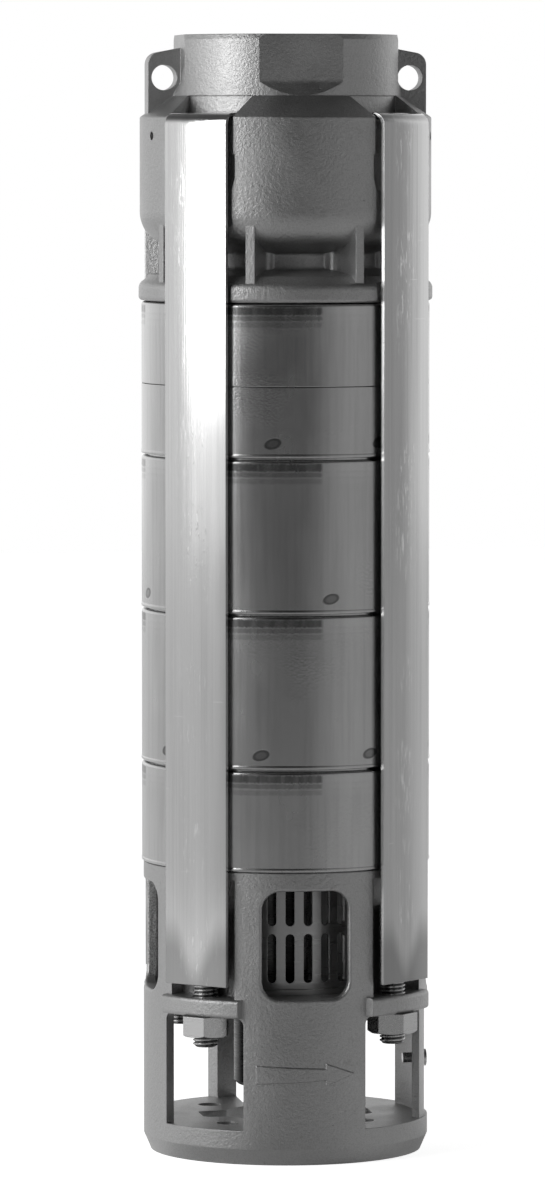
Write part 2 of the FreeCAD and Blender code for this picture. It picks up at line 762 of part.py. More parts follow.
def coupling():
    """Shaft coupling with a splined socket for the motor shaft."""
    low = coupling_start
    body = turned([(0, low), (coupling_radius - coupling_chamfer, low),
                   (coupling_radius, low + coupling_chamfer),
                   (coupling_radius, coupling_end - coupling_chamfer),
                   (coupling_radius - coupling_chamfer, coupling_end), (0, coupling_end)])
    half = math.radians(spline_groove_half_angle)
    groove = plate([(0, 0), (spline_major_radius * math.cos(half), -spline_major_radius * math.sin(half)),
                    (spline_major_radius * math.cos(half), spline_major_radius * math.sin(half))],
                   low - 1, shaft_start - shaft_socket_gap)
    cuts = [rod(coupling_lead_in_radius, low - 1, low + coupling_lead_in_depth),
            rod(spline_minor_radius, low - 1, shaft_start - shaft_socket_gap),
            rod(shaft_radius, shaft_start, coupling_end + 1)]
    return body.cut(cuts + pattern(groove, spline_teeth))


def stop_ring():
    """Stop ring on the shaft below the first impeller."""
    high = impeller_heights[0] + hub_start
    return ring(stop_ring_radius, shaft_radius, high - stop_ring_height, high)


def valve_seat():
    """Seat sleeve pressed into the waist of the valve casing from below."""
    low = valve_casing_base + cage_recess_depth + cage_thickness
    return turned([(seat_bore_radius, low), (seat_flange_radius, low),
                   (seat_flange_radius, low + seat_flange_height),
                   (neck_bore_radius - press_clearance, low + seat_flange_height),
                   (neck_bore_radius - press_clearance, seat_top),
                   (seat_bore_radius, seat_top)])


def valve_cage():
    """Spider that holds the seat up and guides the valve stem."""
    low = valve_casing_base
    rim_outer = cage_recess_radius - press_clearance
    step = low + cage_recess_depth
    rim = ring(rim_outer, rim_outer - cage_rim_width, low, step)
    ring_inner = seat_flange_radius - cage_ring_width
    support = ring(seat_flange_radius, ring_inner, low, cage_hub_top)
    hub = ring(cage_hub_radius, valve_stem_radius + stem_clearance, cage_hub_bottom, cage_hub_top)
    arm_start = cage_hub_radius - cage_arm_thickness / 2
    arm = block(arm_start, rim_outer - cage_rim_width / 2, cage_arm_thickness / 2, low - cage_arm_drop, step)
    inner_arm = block(arm_start, ring_inner + cage_ring_width / 2, cage_arm_thickness / 2,
                      low - cage_arm_drop, cage_hub_top)
    return rim.fuse([support, hub] + pattern(arm, cage_arm_count) + pattern(inner_arm, cage_arm_count))


def valve_cup():
    """Valve cup with its stem, closed on the seat."""
    low = seat_top + seal_thickness
    high = low + cup_height
    return turned([(0, lift_stop_top - lift_stop_height - stem_tail),
                   (valve_stem_radius, lift_stop_top - lift_stop_height - stem_tail),
                   (valve_stem_radius, low), (cup_radius, low, cup_edge), (cup_radius, high),
                   (cup_radius - cup_wall, high), (cup_radius - cup_wall, low + cup_floor, cup_corner),
                   (cup_boss_radius, low + cup_floor), (cup_boss_radius - cup_edge, high), (0, high)])


def valve_seal():
    """Rubber ring under the valve cup."""
    return ring(cup_radius - seal_inset, seat_bore_radius - seal_overhang, seat_top, seat_top + seal_thickness)


def lift_stop():
    """Nut on the valve stem that stops the lift at the hub of the cage."""
    nut = hexagon(lift_stop_flats, lift_stop_top - lift_stop_height, lift_stop_top)
    return nut.cut(rod(valve_stem_radius, lift_stop_top - lift_stop_height - 1, lift_stop_top + 1))


def model():
    """Every piece by its name."""
    pieces = {
        "suction_casing": suction_casing(), "strainer": strainer(), "bottom_chamber": bottom_chamber(),
        "short_chamber": chamber(joint_heights[-1], short_joint, high_lip=plain_seam_edge),
        "top_chamber": chamber(short_joint, valve_casing_base, cage_recess_radius, plain_seam_edge),
        "valve_casing": valve_casing(), "strap_nuts": strap_nuts(), "guard_screw": guard_screw(),
        "shaft": shaft(), "coupling": coupling(), "stop_ring": stop_ring(), "valve_seat": valve_seat(),
        "valve_cage": valve_cage(), "valve_cup": valve_cup(), "valve_seal": valve_seal(),
        "lift_stop": lift_stop(),
    }
    for i, name in enumerate(["right_front", "right_back", "left_back", "left_front"]):
        angle = -45 + 90 * i
        pieces["strap_" + name] = swung(strap(), angle)
        pieces["strap_stud_" + name] = swung(strap_stud(), angle)
    for i, base in enumerate(impeller_heights, 1):
        pieces["impeller_%d" % i] = impeller(base)
        pieces["neck_ring_%d" % i] = neck_ring(base)
        pieces["split_cone_%d" % i] = split_cone(base)
        pieces["cone_nut_%d" % i] = cone_nut(base)
    for i, joint in enumerate(joint_heights, 1):
        last = i == stage_count
        pieces["guide_vanes_%d" % i] = guide_vanes(joint, not last)
        pieces["bearing_%d" % i] = bearing(joint)
        if not last:
            pieces["chamber_%d" % i] = chamber(joint, joint + stage_pitch)
    return pieces


os.makedirs("parts", exist_ok=True)
for node, shape in model().items():
    shape.exportStep("parts/" + node + ".step")
    print(node, shape.isValid(), len(shape.Solids), round(shape.Volume))
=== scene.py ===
import json
import math

import bpy
import numpy as np
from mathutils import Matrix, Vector


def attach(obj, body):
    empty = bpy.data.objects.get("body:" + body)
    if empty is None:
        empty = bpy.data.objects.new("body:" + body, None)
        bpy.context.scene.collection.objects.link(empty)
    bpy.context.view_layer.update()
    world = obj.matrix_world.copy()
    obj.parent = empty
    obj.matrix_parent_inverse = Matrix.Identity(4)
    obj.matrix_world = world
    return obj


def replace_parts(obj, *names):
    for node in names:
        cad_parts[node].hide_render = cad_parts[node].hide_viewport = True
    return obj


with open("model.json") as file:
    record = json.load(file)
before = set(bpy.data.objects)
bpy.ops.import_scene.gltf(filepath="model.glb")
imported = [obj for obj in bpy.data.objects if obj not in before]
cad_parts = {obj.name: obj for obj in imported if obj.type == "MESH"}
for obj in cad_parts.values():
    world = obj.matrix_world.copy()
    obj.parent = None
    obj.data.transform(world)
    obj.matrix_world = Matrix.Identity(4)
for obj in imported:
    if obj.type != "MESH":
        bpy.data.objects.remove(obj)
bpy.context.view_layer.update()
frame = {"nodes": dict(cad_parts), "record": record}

# The camera stands a little to the left of the front pillar, near the height of the top, and looks slightly
# down. The lens shift only puts the shaft axis where the photograph has it, a little right of the middle.
CAMERA_AZIMUTH = math.radians(-8.4)
CAMERA_DISTANCE = 2.772
CAMERA_HEIGHT = 0.3992
TARGET_HEIGHT = 0.2176
FOCAL_LENGTH = 210.99
SENSOR_HEIGHT = 36.0
LENS_SHIFT_X = -0.01084

# Sizes of the pump end that the looks need, in metres, as the frame has them.
CHAMBER_RADIUS = 0.0568
CASTING_RADIUS = 0.0562
STRAINER_BORE = 0.0354
STUD_CIRCLE = 0.0522
STUD_RADIUS = 0.005
STUD_LOW = 0.0453
STUD_HIGH = 0.0999
THREAD_PITCH = 0.0015
PIPE_THREAD_RADIUS = 0.0376
PIPE_THREAD_PITCH = 0.002309
PIPE_THREAD_LOW = 0.4161
PIPE_THREAD_HIGH = 0.4399

# Window rims, the faces cut through the casting's wall, painted paler as a highlight: radii and heights they
# lie between.
RIM_INSIDE = 0.0500
RIM_OUTSIDE = 0.0558
RIM_LOW = 0.066
RIM_HIGH = 0.111

# Heights between which the inside of the strainer is painted dark as shade.
INSIDE_SHADE_LOW = 0.0205
INSIDE_SHADE_HIGH = 0.1145

# Distance from a stud's axis up to which its thread is dirty, and from which it is clean.
THREAD_DIRTY = 0.0043
THREAD_CLEAN = 0.0049

# The straps are very slightly crowned across their width.
CROWN_RADIUS = 0.15

# Height up to which the straps are painted darker at their lower ends, and how much lower it ends in their
# middle.
TINT_HIGH = 0.094
TINT_DIP = 0.015

# Studs: side and azimuth in degrees.
STUDS = (("right_front", 45), ("right_back", 135), ("left_back", -135), ("left_front", -45))

# Chambers: name, lower and upper end, whether a rolled lip ends them below and a rounded shoulder above.
CHAMBERS = (("bottom_chamber", 0.1145, 0.1545, True, True), ("chamber_1", 0.1545, 0.215, True, True),
            ("chamber_2", 0.215, 0.2755, True, True), ("short_chamber", 0.2755, 0.3035, True, False),
            ("top_chamber", 0.3035, 0.336, False, True))

# Drawn sheet of the chambers: how much less radius than the outside the wall's inner face, the spigot
# and the spigot's bore have; then the spigot's depth and the height of the ledge above it.
WALL_STEP = 0.0022
SPIGOT_STEP = 0.0025
BORE_STEP = 0.0043
SPIGOT_DEPTH = 0.0025
INNER_LEDGE = 0.001

# Ends of a chamber: gap left at the seam and rounding, with a lip or shoulder and without. The lip
# stands out a little and runs out into the wall: rise above its rounding's middle, and inset.
SEAM_GAP = 0.0004
PLAIN_SEAM_GAP = 0.0001
SHOULDER_ROUND = 0.0012
LIP_ROUND = 0.0006
PLAIN_ROUND = 0.0002
LIP_STAND_OUT = 0.00018
LIP_RUN_OUT = ((0.0004, 0.0), (0.0006, 0.00003), (0.0008, 0.00012), (0.001, LIP_STAND_OUT),
               (0.0011, LIP_STAND_OUT))

# Distance from a rounding of the row of points that keeps the straight wall's shading straight.
GUARD_ROW = 0.0001

# Heights of the chamber seams with a rounded lip, and the rolled marks below them: drop, half width, share.
# The marks waver in height within the raggedness. They are painted dark as shade up to the fade, an angle
# to the right of the middle between two straps, and painted pale as reflected light beyond it.
LIPPED_SEAMS = (0.1545, 0.215, 0.2755, 0.336)
ROLLED_MARKS = ((0.0032, 0.0018, 1.0), (0.0060, 0.0011, 0.6), (0.0085, 0.0012, 0.3))
MARKS_FADE = 0.09
MARKS_FADE_WIDTH = 0.03
MARKS_RAGGEDNESS = 0.0022

# Weld spots: height and the azimuth of one of the eight.
WELD_SPOTS = ((0.1607, -18.0), (0.2213, 9.7), (0.2817, -13.3), (0.3418, -35.0))
SPOT_HALF_LENGTH = 0.0034
SPOT_HALF_HEIGHT = 0.0021
SPOT_SLANT = 0.17

# Brightness of the studio round the object, by azimuth from the camera in degrees, left negative.
STUDIO = ((-180, 1.1), (-140, 1.1), (-115, 0.86), (-90, 0.9), (-70, 0.82), (-54, 0.32), (-38, 0.14),
          (-18, 0.07), (-4, 0.05), (14, 0.05), (26, 0.15), (36, 0.3), (54, 0.44), (84, 0.34), (106, 0.36),
          (115, 0.85), (140, 1.2), (180, 1.1))

# The ceiling has a share of the walls' brightness; the walls turn into it between two heights of the
# direction looked in, where 0 is level and 1 is straight up.
CEILING = 0.1
CEILING_STARTS = 0.2
CEILING_FULL = 0.75

# The soft lights stand one above the other at the left of the camera.
SOFTBOX_AZIMUTH = math.radians(-57.3)
SOFTBOX_DISTANCE = 1.0
SOFTBOX_WIDTH = 0.61


def toward(azimuth, distance, height):
    """Point at an azimuth from the shaft axis; 0 is the front and angles turn towards the right."""
    return Vector((math.sin(azimuth) * distance, -math.cos(azimuth) * distance, height))


def aim(thing, spot, target):
    """Puts a camera or lamp at a spot and turns it to look at a target."""
    thing.location = spot
    thing.rotation_euler = (target - spot).to_track_quat("-Z", "Y").to_euler()


def add_camera():
    """Camera at the photograph's viewing angle."""
    data = bpy.data.cameras.new("camera")
    data.sensor_fit = "VERTICAL"
    data.sensor_height = SENSOR_HEIGHT
    data.lens = FOCAL_LENGTH
    data.shift_x = LENS_SHIFT_X
    data.clip_end = 20
    camera = bpy.data.objects.new("camera", data)
    bpy.context.scene.collection.objects.link(camera)
    spot = toward(CAMERA_AZIMUTH, CAMERA_DISTANCE, CAMERA_HEIGHT)
    aim(camera, spot, Vector((0, 0, TARGET_HEIGHT)))
    bpy.context.scene.camera = camera


class Nodes:
    """A node tree being built; the methods for sums and patterns return the output to use."""

    def __init__(self, tree):
        self.tree = tree

    def add(self, kind, settings=None, **sockets):
        """A node with its settings; a socket, by name or as i0, i1 and so on, takes a value or an output."""
        node = self.tree.nodes.new(kind)
        for key, value in (settings or {}).items():
            setattr(node, key, value)
        for key, value in sockets.items():
            by_number = key[0] == "i" and key[1:].isdigit()
            self.put(node.inputs[int(key[1:])] if by_number else node.inputs[key], value)
        return node

    def put(self, socket, value):
        """Links an output to a socket, or sets the socket's own value."""
        if isinstance(value, bpy.types.NodeSocket):
            self.tree.links.new(value, socket)
        else:
            socket.default_value = value

    def math(self, operation, a, b=0.0, c=0.0):
        """One sum on numbers."""
        return self.add("ShaderNodeMath", {"operation": operation}, i0=a, i1=b, i2=c).outputs[0]

    def times(self, first, *others):
        """Product of numbers."""
        for other in others:
            first = self.math("MULTIPLY", first, other)
        return first

    def length(self, a, b):
        """Root of the sum of two squares: sqrt(a a + b b)."""
        return self.math("SQRT", self.math("ADD", self.times(a, a), self.times(b, b)))

    def between(self, value, low, high, to_low=0.0, to_high=1.0):
        """A number carried smoothly from one range to another, held inside it."""
        ranges = {"From Min": low, "From Max": high, "To Min": to_low, "To Max": to_high}
        smooth = {"interpolation_type": "SMOOTHSTEP"}
        return self.add("ShaderNodeMapRange", smooth, Value=value, **ranges).outputs[0]

    def falling(self, value, low, high):
        """1 below the low value, 0 above the high one, smooth between them."""
        return self.between(value, low, high, 1.0, 0.0)

    def split(self, vector):
        """Outputs x, y and z of a vector."""
        return self.add("ShaderNodeSeparateXYZ", Vector=vector).outputs[:]

    def azimuth(self, x, y):
        """Angle round the shaft from the front, in radians; right is positive."""
        return self.math("ARCTAN2", x, self.times(y, -1.0))

    def studio_brightness(self, x, y):
        """Brightness of the studio in the direction of x and y."""
        turned = self.math("SUBTRACT", self.azimuth(x, y), CAMERA_AZIMUTH)
        share = self.math("MULTIPLY_ADD", turned, 1 / (2 * math.pi), 0.5)
        ramp = self.add("ShaderNodeValToRGB", i0=self.math("FRACT", share))
        stops = ramp.color_ramp.elements
        while len(stops) > 1:
            stops.remove(stops[-1])
        for i, (angle, value) in enumerate(STUDIO):
            stop = stops[0] if i == 0 else stops.new(angle / 360 + 0.5)
            stop.position = angle / 360 + 0.5
            stop.color = (value, value, value, 1)
        return ramp.outputs[0]


class Finish(Nodes):
    """A node material being built from the places on the object."""

    def __init__(self, name):
        self.material = bpy.data.materials.new(name)
        self.material.use_nodes = True
        super().__init__(self.material.node_tree)
        self.shader = self.tree.nodes["Principled BSDF"]
        self.place = self.add("ShaderNodeTexCoord").outputs["Object"]
        self.x, self.y, self.z = self.split(self.place)

    def noise(self, vector, scale, detail, rough):
        """Cloudy noise from 0 to 1."""
        sockets = {"Scale": scale, "Detail": detail, "Roughness": rough}
        return self.add("ShaderNodeTexNoise", Vector=vector, **sockets).outputs["Fac"]

    def unrolled(self):
        """Place unrolled about the shaft: distance round the shaft, distance from it, and height."""
        round_it = self.times(self.math("ARCTAN2", self.y, self.x), CHAMBER_RADIUS)
        return self.add("ShaderNodeCombineXYZ", X=round_it, Y=self.radius(), Z=self.z).outputs[0]

    def streaky(self, vector, scales, detail, rough):
        """Cloudy noise with a scale for each direction, so that it gets longer along some."""
        mapping = self.add("ShaderNodeMapping", {"vector_type": "POINT"}, Vector=vector, Scale=scales)
        return self.noise(mapping.outputs[0], 1.0, detail, rough)

    def radius(self):
        """Distance from the shaft axis."""
        return self.length(self.x, self.y)

    def shaded_inside(self, colour, dark):
        """Colour made dark below the chambers and inside the strainer: painted shade of the casing's inside.
        """
        inside = self.falling(self.radius(), STRAINER_BORE - 0.0002, STRAINER_BORE + 0.0004)
        below_chambers = self.falling(self.z, INSIDE_SHADE_HIGH, INSIDE_SHADE_HIGH + 0.001)
        above_base = self.between(self.z, INSIDE_SHADE_LOW, INSIDE_SHADE_LOW + 0.003)
        return self.blend(self.times(inside, below_chambers, above_base), colour, grey(dark))

    def blend(self, share, a, b):
        """Colour mixed from a to b by a share."""
        return self.add("ShaderNodeMix", {"data_type": "RGBA"}, i0=share, i6=a, i7=b).outputs[2]

    def bump(self, height, strength, distance, normal=None):
        """Small relief from a height."""
        node = self.add("ShaderNodeBump", Height=height, Strength=strength, Distance=distance)
        if normal is not None:
            self.put(node.inputs["Normal"], normal)
        return node.outputs[0]

    def edge(self, radius):
        """Normal that rolls over edges, as a worn or cast edge does."""
        return self.add("ShaderNodeBevel", {"samples": 4}, Radius=radius).outputs[0]

    def done(self, colour, roughness, normal, metallic=1.0):
        """Fills the shader and returns the material."""
        self.put(self.shader.inputs["Base Color"], colour)
        self.put(self.shader.inputs["Roughness"], roughness)
        self.put(self.shader.inputs["Metallic"], metallic)
        self.put(self.shader.inputs["Normal"], normal)
        return self.material


def grey(value, warmth=0.0):
    """Opaque grey of a linear brightness, a little warm or cold."""
    return (value * (1 + warmth), value, value * (1 - warmth), 1.0)


def window_rim_highlight(f):
    """Share of the faces that the inlet windows cut through the casting's wall, where a highlight is painted.
    """
    inner = f.between(f.radius(), RIM_INSIDE, RIM_INSIDE + 0.0008)
    outer = f.falling(f.radius(), RIM_OUTSIDE - 0.0006, RIM_OUTSIDE)
    lower = f.between(f.z, RIM_LOW, RIM_LOW + 0.002)
    upper = f.falling(f.z, RIM_HIGH - 0.002, RIM_HIGH)
    return f.times(f.times(inner, outer), f.times(lower, upper))


def cast_finish(name, level):
    """Blasted investment casting: orange-peel skin, fine grit, soft clouds, stains and small shallow pits."""
    f = Finish(name)
    peel = f.noise(f.place, scale=760.0, detail=2.0, rough=0.55)
    grit = f.noise(f.place, scale=1900.0, detail=2.0, rough=0.6)
    clouds = f.noise(f.place, scale=45.0, detail=4.0, rough=0.6)
    pits = f.falling(f.noise(f.place, scale=520.0, detail=1.0, rough=0.5), 0.18, 0.24)
    stains = f.between(f.noise(f.place, scale=120.0, detail=5.0, rough=0.7), 0.62, 0.74)
    colour = f.blend(clouds, grey(level * 0.86), grey(level * 1.12))
    colour = f.blend(f.times(pits, 0.35), colour, grey(level * 0.5))
    colour = f.blend(f.between(grit, 0.42, 0.66, 0.0, 0.4), colour, grey(level * 0.66))
    colour = f.blend(f.times(stains, 0.45), colour, grey(level * 0.55, 0.03))
    # Painted shade inside the strainer and below the chambers.
    colour = f.shaded_inside(colour, 0.05)
    # Painted highlight on the window rims, broken by the grit.
    colour = f.blend(f.times(window_rim_highlight(f), f.between(grit, 0.35, 0.6)), colour, grey(0.85))
    height = f.math("SUBTRACT", f.math("ADD", peel, f.times(grit, 0.5)), f.times(pits, 0.6))
    normal = f.bump(height, 1.0, 0.0002, f.edge(0.0006))
    return f.done(colour, f.between(clouds, 0.3, 0.7, 0.41, 0.52), normal)


def along_wave(f, value, first, pitch):
    """Distance from the nearest of many evenly spaced values, as a signed number."""
    share = f.math("DIVIDE", f.math("SUBTRACT", value, first), pitch)
    wrapped = f.math("FRACT", f.math("ADD", share, 0.5))
    return f.times(f.math("SUBTRACT", wrapped, 0.5), pitch)


def weld_spots(f, azimuth):
    """Share of dark slanted ovals, eight round the chamber at each height, from 0 to 1."""
    spots = 0.0
    for height, phase in WELD_SPOTS:
        across = f.times(along_wave(f, azimuth, math.radians(phase), math.pi / 4), CHAMBER_RADIUS)
        up = f.math("SUBTRACT", f.math("SUBTRACT", f.z, height), f.times(across, SPOT_SLANT))
        reach = f.length(f.math("DIVIDE", across, SPOT_HALF_LENGTH), f.math("DIVIDE", up, SPOT_HALF_HEIGHT))
        oval = f.times(f.falling(reach, 0.85, 1.1), f.between(reach, 0.45, 0.8, 0.72, 1.0))
        spots = f.math("MAXIMUM", spots, oval)
    return spots


def rolled_mark_shading(f, unrolled, azimuth):
    """Shares of the ragged bands below the lipped seams: the stretches painted dark as shade and those
    painted pale as reflected light.
    """
    ragged = f.streaky(unrolled, (1300.0, 1.0, 700.0), detail=3.0, rough=0.65)
    uneven = f.math("MULTIPLY_ADD", f.math("SUBTRACT", ragged, 0.5), MARKS_RAGGEDNESS, f.z)
    marks = 0.0
    for seam in LIPPED_SEAMS:
        for drop, half_width, share in ROLLED_MARKS:
            away = f.math("ABSOLUTE", f.math("SUBTRACT", uneven, seam - drop))
            band = f.falling(away, half_width * 0.6, half_width)
            marks = f.math("MAXIMUM", marks, f.times(band, share))
    patchy = f.between(f.streaky(unrolled, (330.0, 1.0, 20.0), detail=2.0, rough=0.5), 0.35, 0.6, 0.75, 1.0)
    from_middle = along_wave(f, azimuth, 0.0, math.pi / 2)
    side = f.between(from_middle, MARKS_FADE, MARKS_FADE + MARKS_FADE_WIDTH, 1.0, 0.15)
    return f.times(marks, patchy, side), f.times(marks, f.math("SUBTRACT", 1.0, side))


def chamber_finish(name):
    """Deep-drawn sheet steel: upright drawing streaks, clouds, weld spots and rolled marks below seams,
    painted dark as shade and pale as reflected light.
    """
    f = Finish(name)
    unrolled = f.unrolled()
    azimuth = f.azimuth(f.x, f.y)
    streaks = f.streaky(unrolled, (420.0, 1.0, 16.0), detail=3.0, rough=0.6)
    clouds = f.streaky(unrolled, (38.0, 1.0, 22.0), detail=4.0, rough=0.6)
    peel = f.noise(f.place, scale=1100.0, detail=2.0, rough=0.5)
    patches = f.between(f.streaky(unrolled, (20.0, 1.0, 32.0), detail=2.0, rough=0.5), 0.5, 0.68)
    spots = weld_spots(f, azimuth)
    marks_painted_shaded, marks_painted_lit = rolled_mark_shading(f, unrolled, azimuth)
    colour = f.blend(clouds, grey(0.44), grey(0.58))
    colour = f.blend(f.between(streaks, 0.4, 0.7, 0.0, 0.3), colour, grey(0.36))
    # Painted reflected light on the rolled marks beyond the fade.
    colour = f.blend(f.times(marks_painted_lit, 0.35), colour, grey(0.78))
    colour = f.blend(f.times(spots, 0.85), colour, grey(0.1))
    # Painted shade in the rolled marks up to the fade.
    colour = f.blend(f.times(marks_painted_shaded, 0.8), colour, grey(0.09))
    height = f.math("ADD", f.times(streaks, 0.5), f.times(peel, patches, 0.55))
    height = f.math("SUBTRACT", height, f.times(spots, 0.4))
    return f.done(colour, f.between(clouds, 0.3, 0.7, 0.2, 0.28), f.bump(height, 0.8, 0.0001))


def strap_across(f):
    """Distance from the middle of a strap's width; the four straps stand at the diagonals."""
    one = f.times(f.math("SIGN", f.x), f.y)
    other = f.times(f.math("SIGN", f.y), f.x)
    return f.times(f.math("SUBTRACT", one, other), math.sqrt(0.5))


def darker_low_end(f, aside, clouds):
    """Share of the darker colour at the strap's lower end above the studs, which climbs higher at the strap's
    edges.
    """
    reach = f.math("ADD", aside, f.times(clouds, 0.006))
    top = f.between(reach, 0.003, 0.014, TINT_HIGH - TINT_DIP, TINT_HIGH)
    return f.falling(f.math("SUBTRACT", f.z, top), -0.012, 0.005)


def strap_finish(name):
    """Rolled strip, faintly crowned, brushed lengthwise, with scratches, rubbed lines and a darker lower end.
    """
    f = Finish(name)
    across = strap_across(f)
    aside = f.math("ABSOLUTE", across)
    crown = f.bump(f.times(across, across, -0.5 / CROWN_RADIUS), 1.0, 1.0, f.edge(0.0004))
    unrolled = f.unrolled()
    streaks = f.streaky(unrolled, (1600.0, 1600.0, 9.0), detail=3.0, rough=0.6)
    broad = f.streaky(unrolled, (160.0, 160.0, 5.0), detail=2.0, rough=0.5)
    clouds = f.streaky(unrolled, (50.0, 50.0, 10.0), detail=3.0, rough=0.5)
    scratches = f.between(f.streaky(unrolled, (60.0, 60.0, 900.0), detail=2.0, rough=0.4), 0.73, 0.76)
    scratches = f.times(scratches, f.between(clouds, 0.5, 0.6))
    rubbed = f.between(f.streaky(unrolled, (900.0, 900.0, 110.0), detail=4.0, rough=0.75), 0.55, 0.66)
    worn = f.between(f.noise(f.place, scale=22.0, detail=2.0, rough=0.5), 0.44, 0.56)
    rubbed = f.times(rubbed, worn, f.between(aside, 0.002, 0.009, 1.0, 0.15))
    colour = f.blend(streaks, grey(0.5), grey(0.7))
    colour = f.blend(f.times(f.between(broad, 0.35, 0.65), 0.5), colour, grey(0.7))
    # The straps' lower ends are painted darker, higher at their edges.
    colour = f.blend(f.times(darker_low_end(f, aside, clouds), 0.75), colour, grey(0.27))
    colour = f.blend(f.times(scratches, 0.35), colour, grey(0.9))
    colour = f.blend(f.times(rubbed, 0.5), colour, grey(0.92))
    height = f.math("ADD", f.times(streaks, 0.4), f.math("MULTIPLY_ADD", rubbed, 0.6, broad))
    return f.done(colour, f.between(clouds, 0.3, 0.7, 0.1, 0.15), f.bump(height, 0.4, 0.0001, crown))


def from_stud(f):
    """Distance from the nearest stud's axis; the four studs stand at the diagonals."""
    middle = STUD_CIRCLE * math.sqrt(0.5)
    aside = f.math("SUBTRACT", f.math("ABSOLUTE", f.x), middle)
    ahead = f.math("SUBTRACT", f.math("ABSOLUTE", f.y), middle)
    return f.length(aside, ahead)


def machined_finish(name, level, roughness):
    """Turned steel with fine rings round the shaft, painted shade inside the strainer and dirt in the studs'
    threads.
    """
    f = Finish(name)
    rings = f.streaky(f.unrolled(), (20.0, 1500.0, 1500.0), detail=2.0, rough=0.5)
    # Painted shade on the turned parts inside the strainer.
    colour = f.shaded_inside(f.blend(rings, grey(level * 0.92), grey(level * 1.08)), 0.04)
    colour = f.blend(f.between(from_stud(f), THREAD_DIRTY, THREAD_CLEAN, 0.85, 0.0), colour, grey(0.06))
    return f.done(colour, f.between(rings, 0.3, 0.7, roughness * 0.8, roughness * 1.2),
                  f.bump(rings, 0.15, 0.0001, f.edge(0.0003)))


def rubber_finish(name):
    """Black moulded rubber."""
    f = Finish(name)
    grain = f.noise(f.place, scale=1200.0, detail=2.0, rough=0.5)
    return f.done(grey(0.03), f.between(grain, 0.3, 0.7, 0.55, 0.7), f.bump(grain, 0.2, 0.0001), metallic=0.0)


def make_finishes():
    """One finish for each material slot of the record."""
    return {
        "cast_steel": cast_finish("cast_steel", level=0.465),
        "chamber_steel": chamber_finish("chamber_steel"),
        "strap_steel": strap_finish("strap_steel"),
        "sheet_steel": machined_finish("sheet_steel", level=0.45, roughness=0.34),
        "machined_steel": machined_finish("machined_steel", level=0.6, roughness=0.3),
        "rubber": rubber_finish("rubber"),
    }


def dress_nodes():
    """Gives every node of the frame the finish of its slot."""
    slots = {part["node"]: part["material_slot"] for part in frame["record"]["subparts"]}
    for name, thing in frame["nodes"].items():
        thing.data.materials.clear()
        thing.data.materials.append(finishes[slots[name]])


def surface(name, grid, slot, body="casing", around=True):
    """Smooth piece from a grid of points, rows by columns; around joins the last column to the first."""
    rows, columns = grid.shape[:2]
    index = np.arange(rows * columns).reshape(rows, columns)
    near = index if around else index[:, :-1]
    far = np.roll(index, -1, axis=1) if around else index[:, 1:]
    faces = np.stack([near[:-1], far[:-1], far[1:], near[1:]], axis=-1).reshape(-1, 4)
    mesh = bpy.data.meshes.new(name)
    mesh.vertices.add(rows * columns)
    mesh.vertices.foreach_set("co", np.ascontiguousarray(grid, dtype=np.float32).ravel())
    mesh.loops.add(faces.size)
    mesh.loops.foreach_set("vertex_index", faces.ravel().astype(np.int32))
    mesh.polygons.add(len(faces))
    mesh.polygons.foreach_set("loop_start", np.arange(0, faces.size, 4, dtype=np.int32))
    mesh.polygons.foreach_set("use_smooth", np.ones(len(faces), dtype=bool))
    mesh.update(calc_edges=True)
    mesh.materials.append(finishes[slot])
    piece = bpy.data.objects.new(name, mesh)
    bpy.context.scene.collection.objects.link(piece)
    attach(piece, body)
    return piece


def turned(radius, height, angle, x=0.0, y=0.0):
    """Grid of points turned about the upright line through x and y, from rows of radii and heights."""
    return np.stack([x + radius * np.cos(angle), y + radius * np.sin(angle), height + 0 * angle], axis=-1)


def full_turn(steps):
    """Angles of one turn, as a row."""
    return np.linspace(0, 2 * np.pi, steps, endpoint=False)[None, :]


def thread_groove(turns):
    """Depth of a V thread with flat crests, 0 to 1: clip((|2 frac(turns) - 1| - 0.25) / 0.65)."""
    return np.clip((np.abs(2 * np.mod(turns, 1.0) - 1) - 0.25) / 0.65, 0, 1)


def quarter(radius, height, turn_from, turn_to, size, count=7):
    """Points of an arc round (radius, height), angles in degrees from the outward direction."""
    angles = np.radians(np.linspace(turn_from, turn_to, count))
    return [(radius + size * math.cos(a), height + size * math.sin(a)) for a in angles]


def chamber_profile(low, high, lipped_low, lipped_high):
    """Corners (radius, height) of a drawn chamber's wall, up its outside and down its inside."""
    wall = CHAMBER_RADIUS
    bore, spigot, inside = wall - BORE_STEP, wall - SPIGOT_STEP, wall - WALL_STEP
    corners = [(bore, low - SPIGOT_DEPTH), (spigot, low - SPIGOT_DEPTH)]
    if lipped_low:
        lip, middle = wall + LIP_STAND_OUT, low + SEAM_GAP + LIP_ROUND
        corners += [(spigot, low + SEAM_GAP)] + quarter(lip - LIP_ROUND, middle, -90, 0, LIP_ROUND)
        corners += [(lip - inset, middle + rise) for rise, inset in LIP_RUN_OUT]
    else:
        middle = low + PLAIN_SEAM_GAP + PLAIN_ROUND
        corners += [(spigot, low + PLAIN_SEAM_GAP)]
        corners += quarter(wall - PLAIN_ROUND, middle, -90, 0, PLAIN_ROUND, 4) + [(wall, middle + GUARD_ROW)]
    gap, size, count = (SEAM_GAP, SHOULDER_ROUND, 7) if lipped_high else (PLAIN_SEAM_GAP, PLAIN_ROUND, 4)
    middle = high - gap - size
    corners += [(wall, middle - GUARD_ROW)] + quarter(wall - size, middle, 0, 90, size, count)
    return corners + [(inside, high - gap), (inside, low + INNER_LEDGE), (bore, low + INNER_LEDGE)]


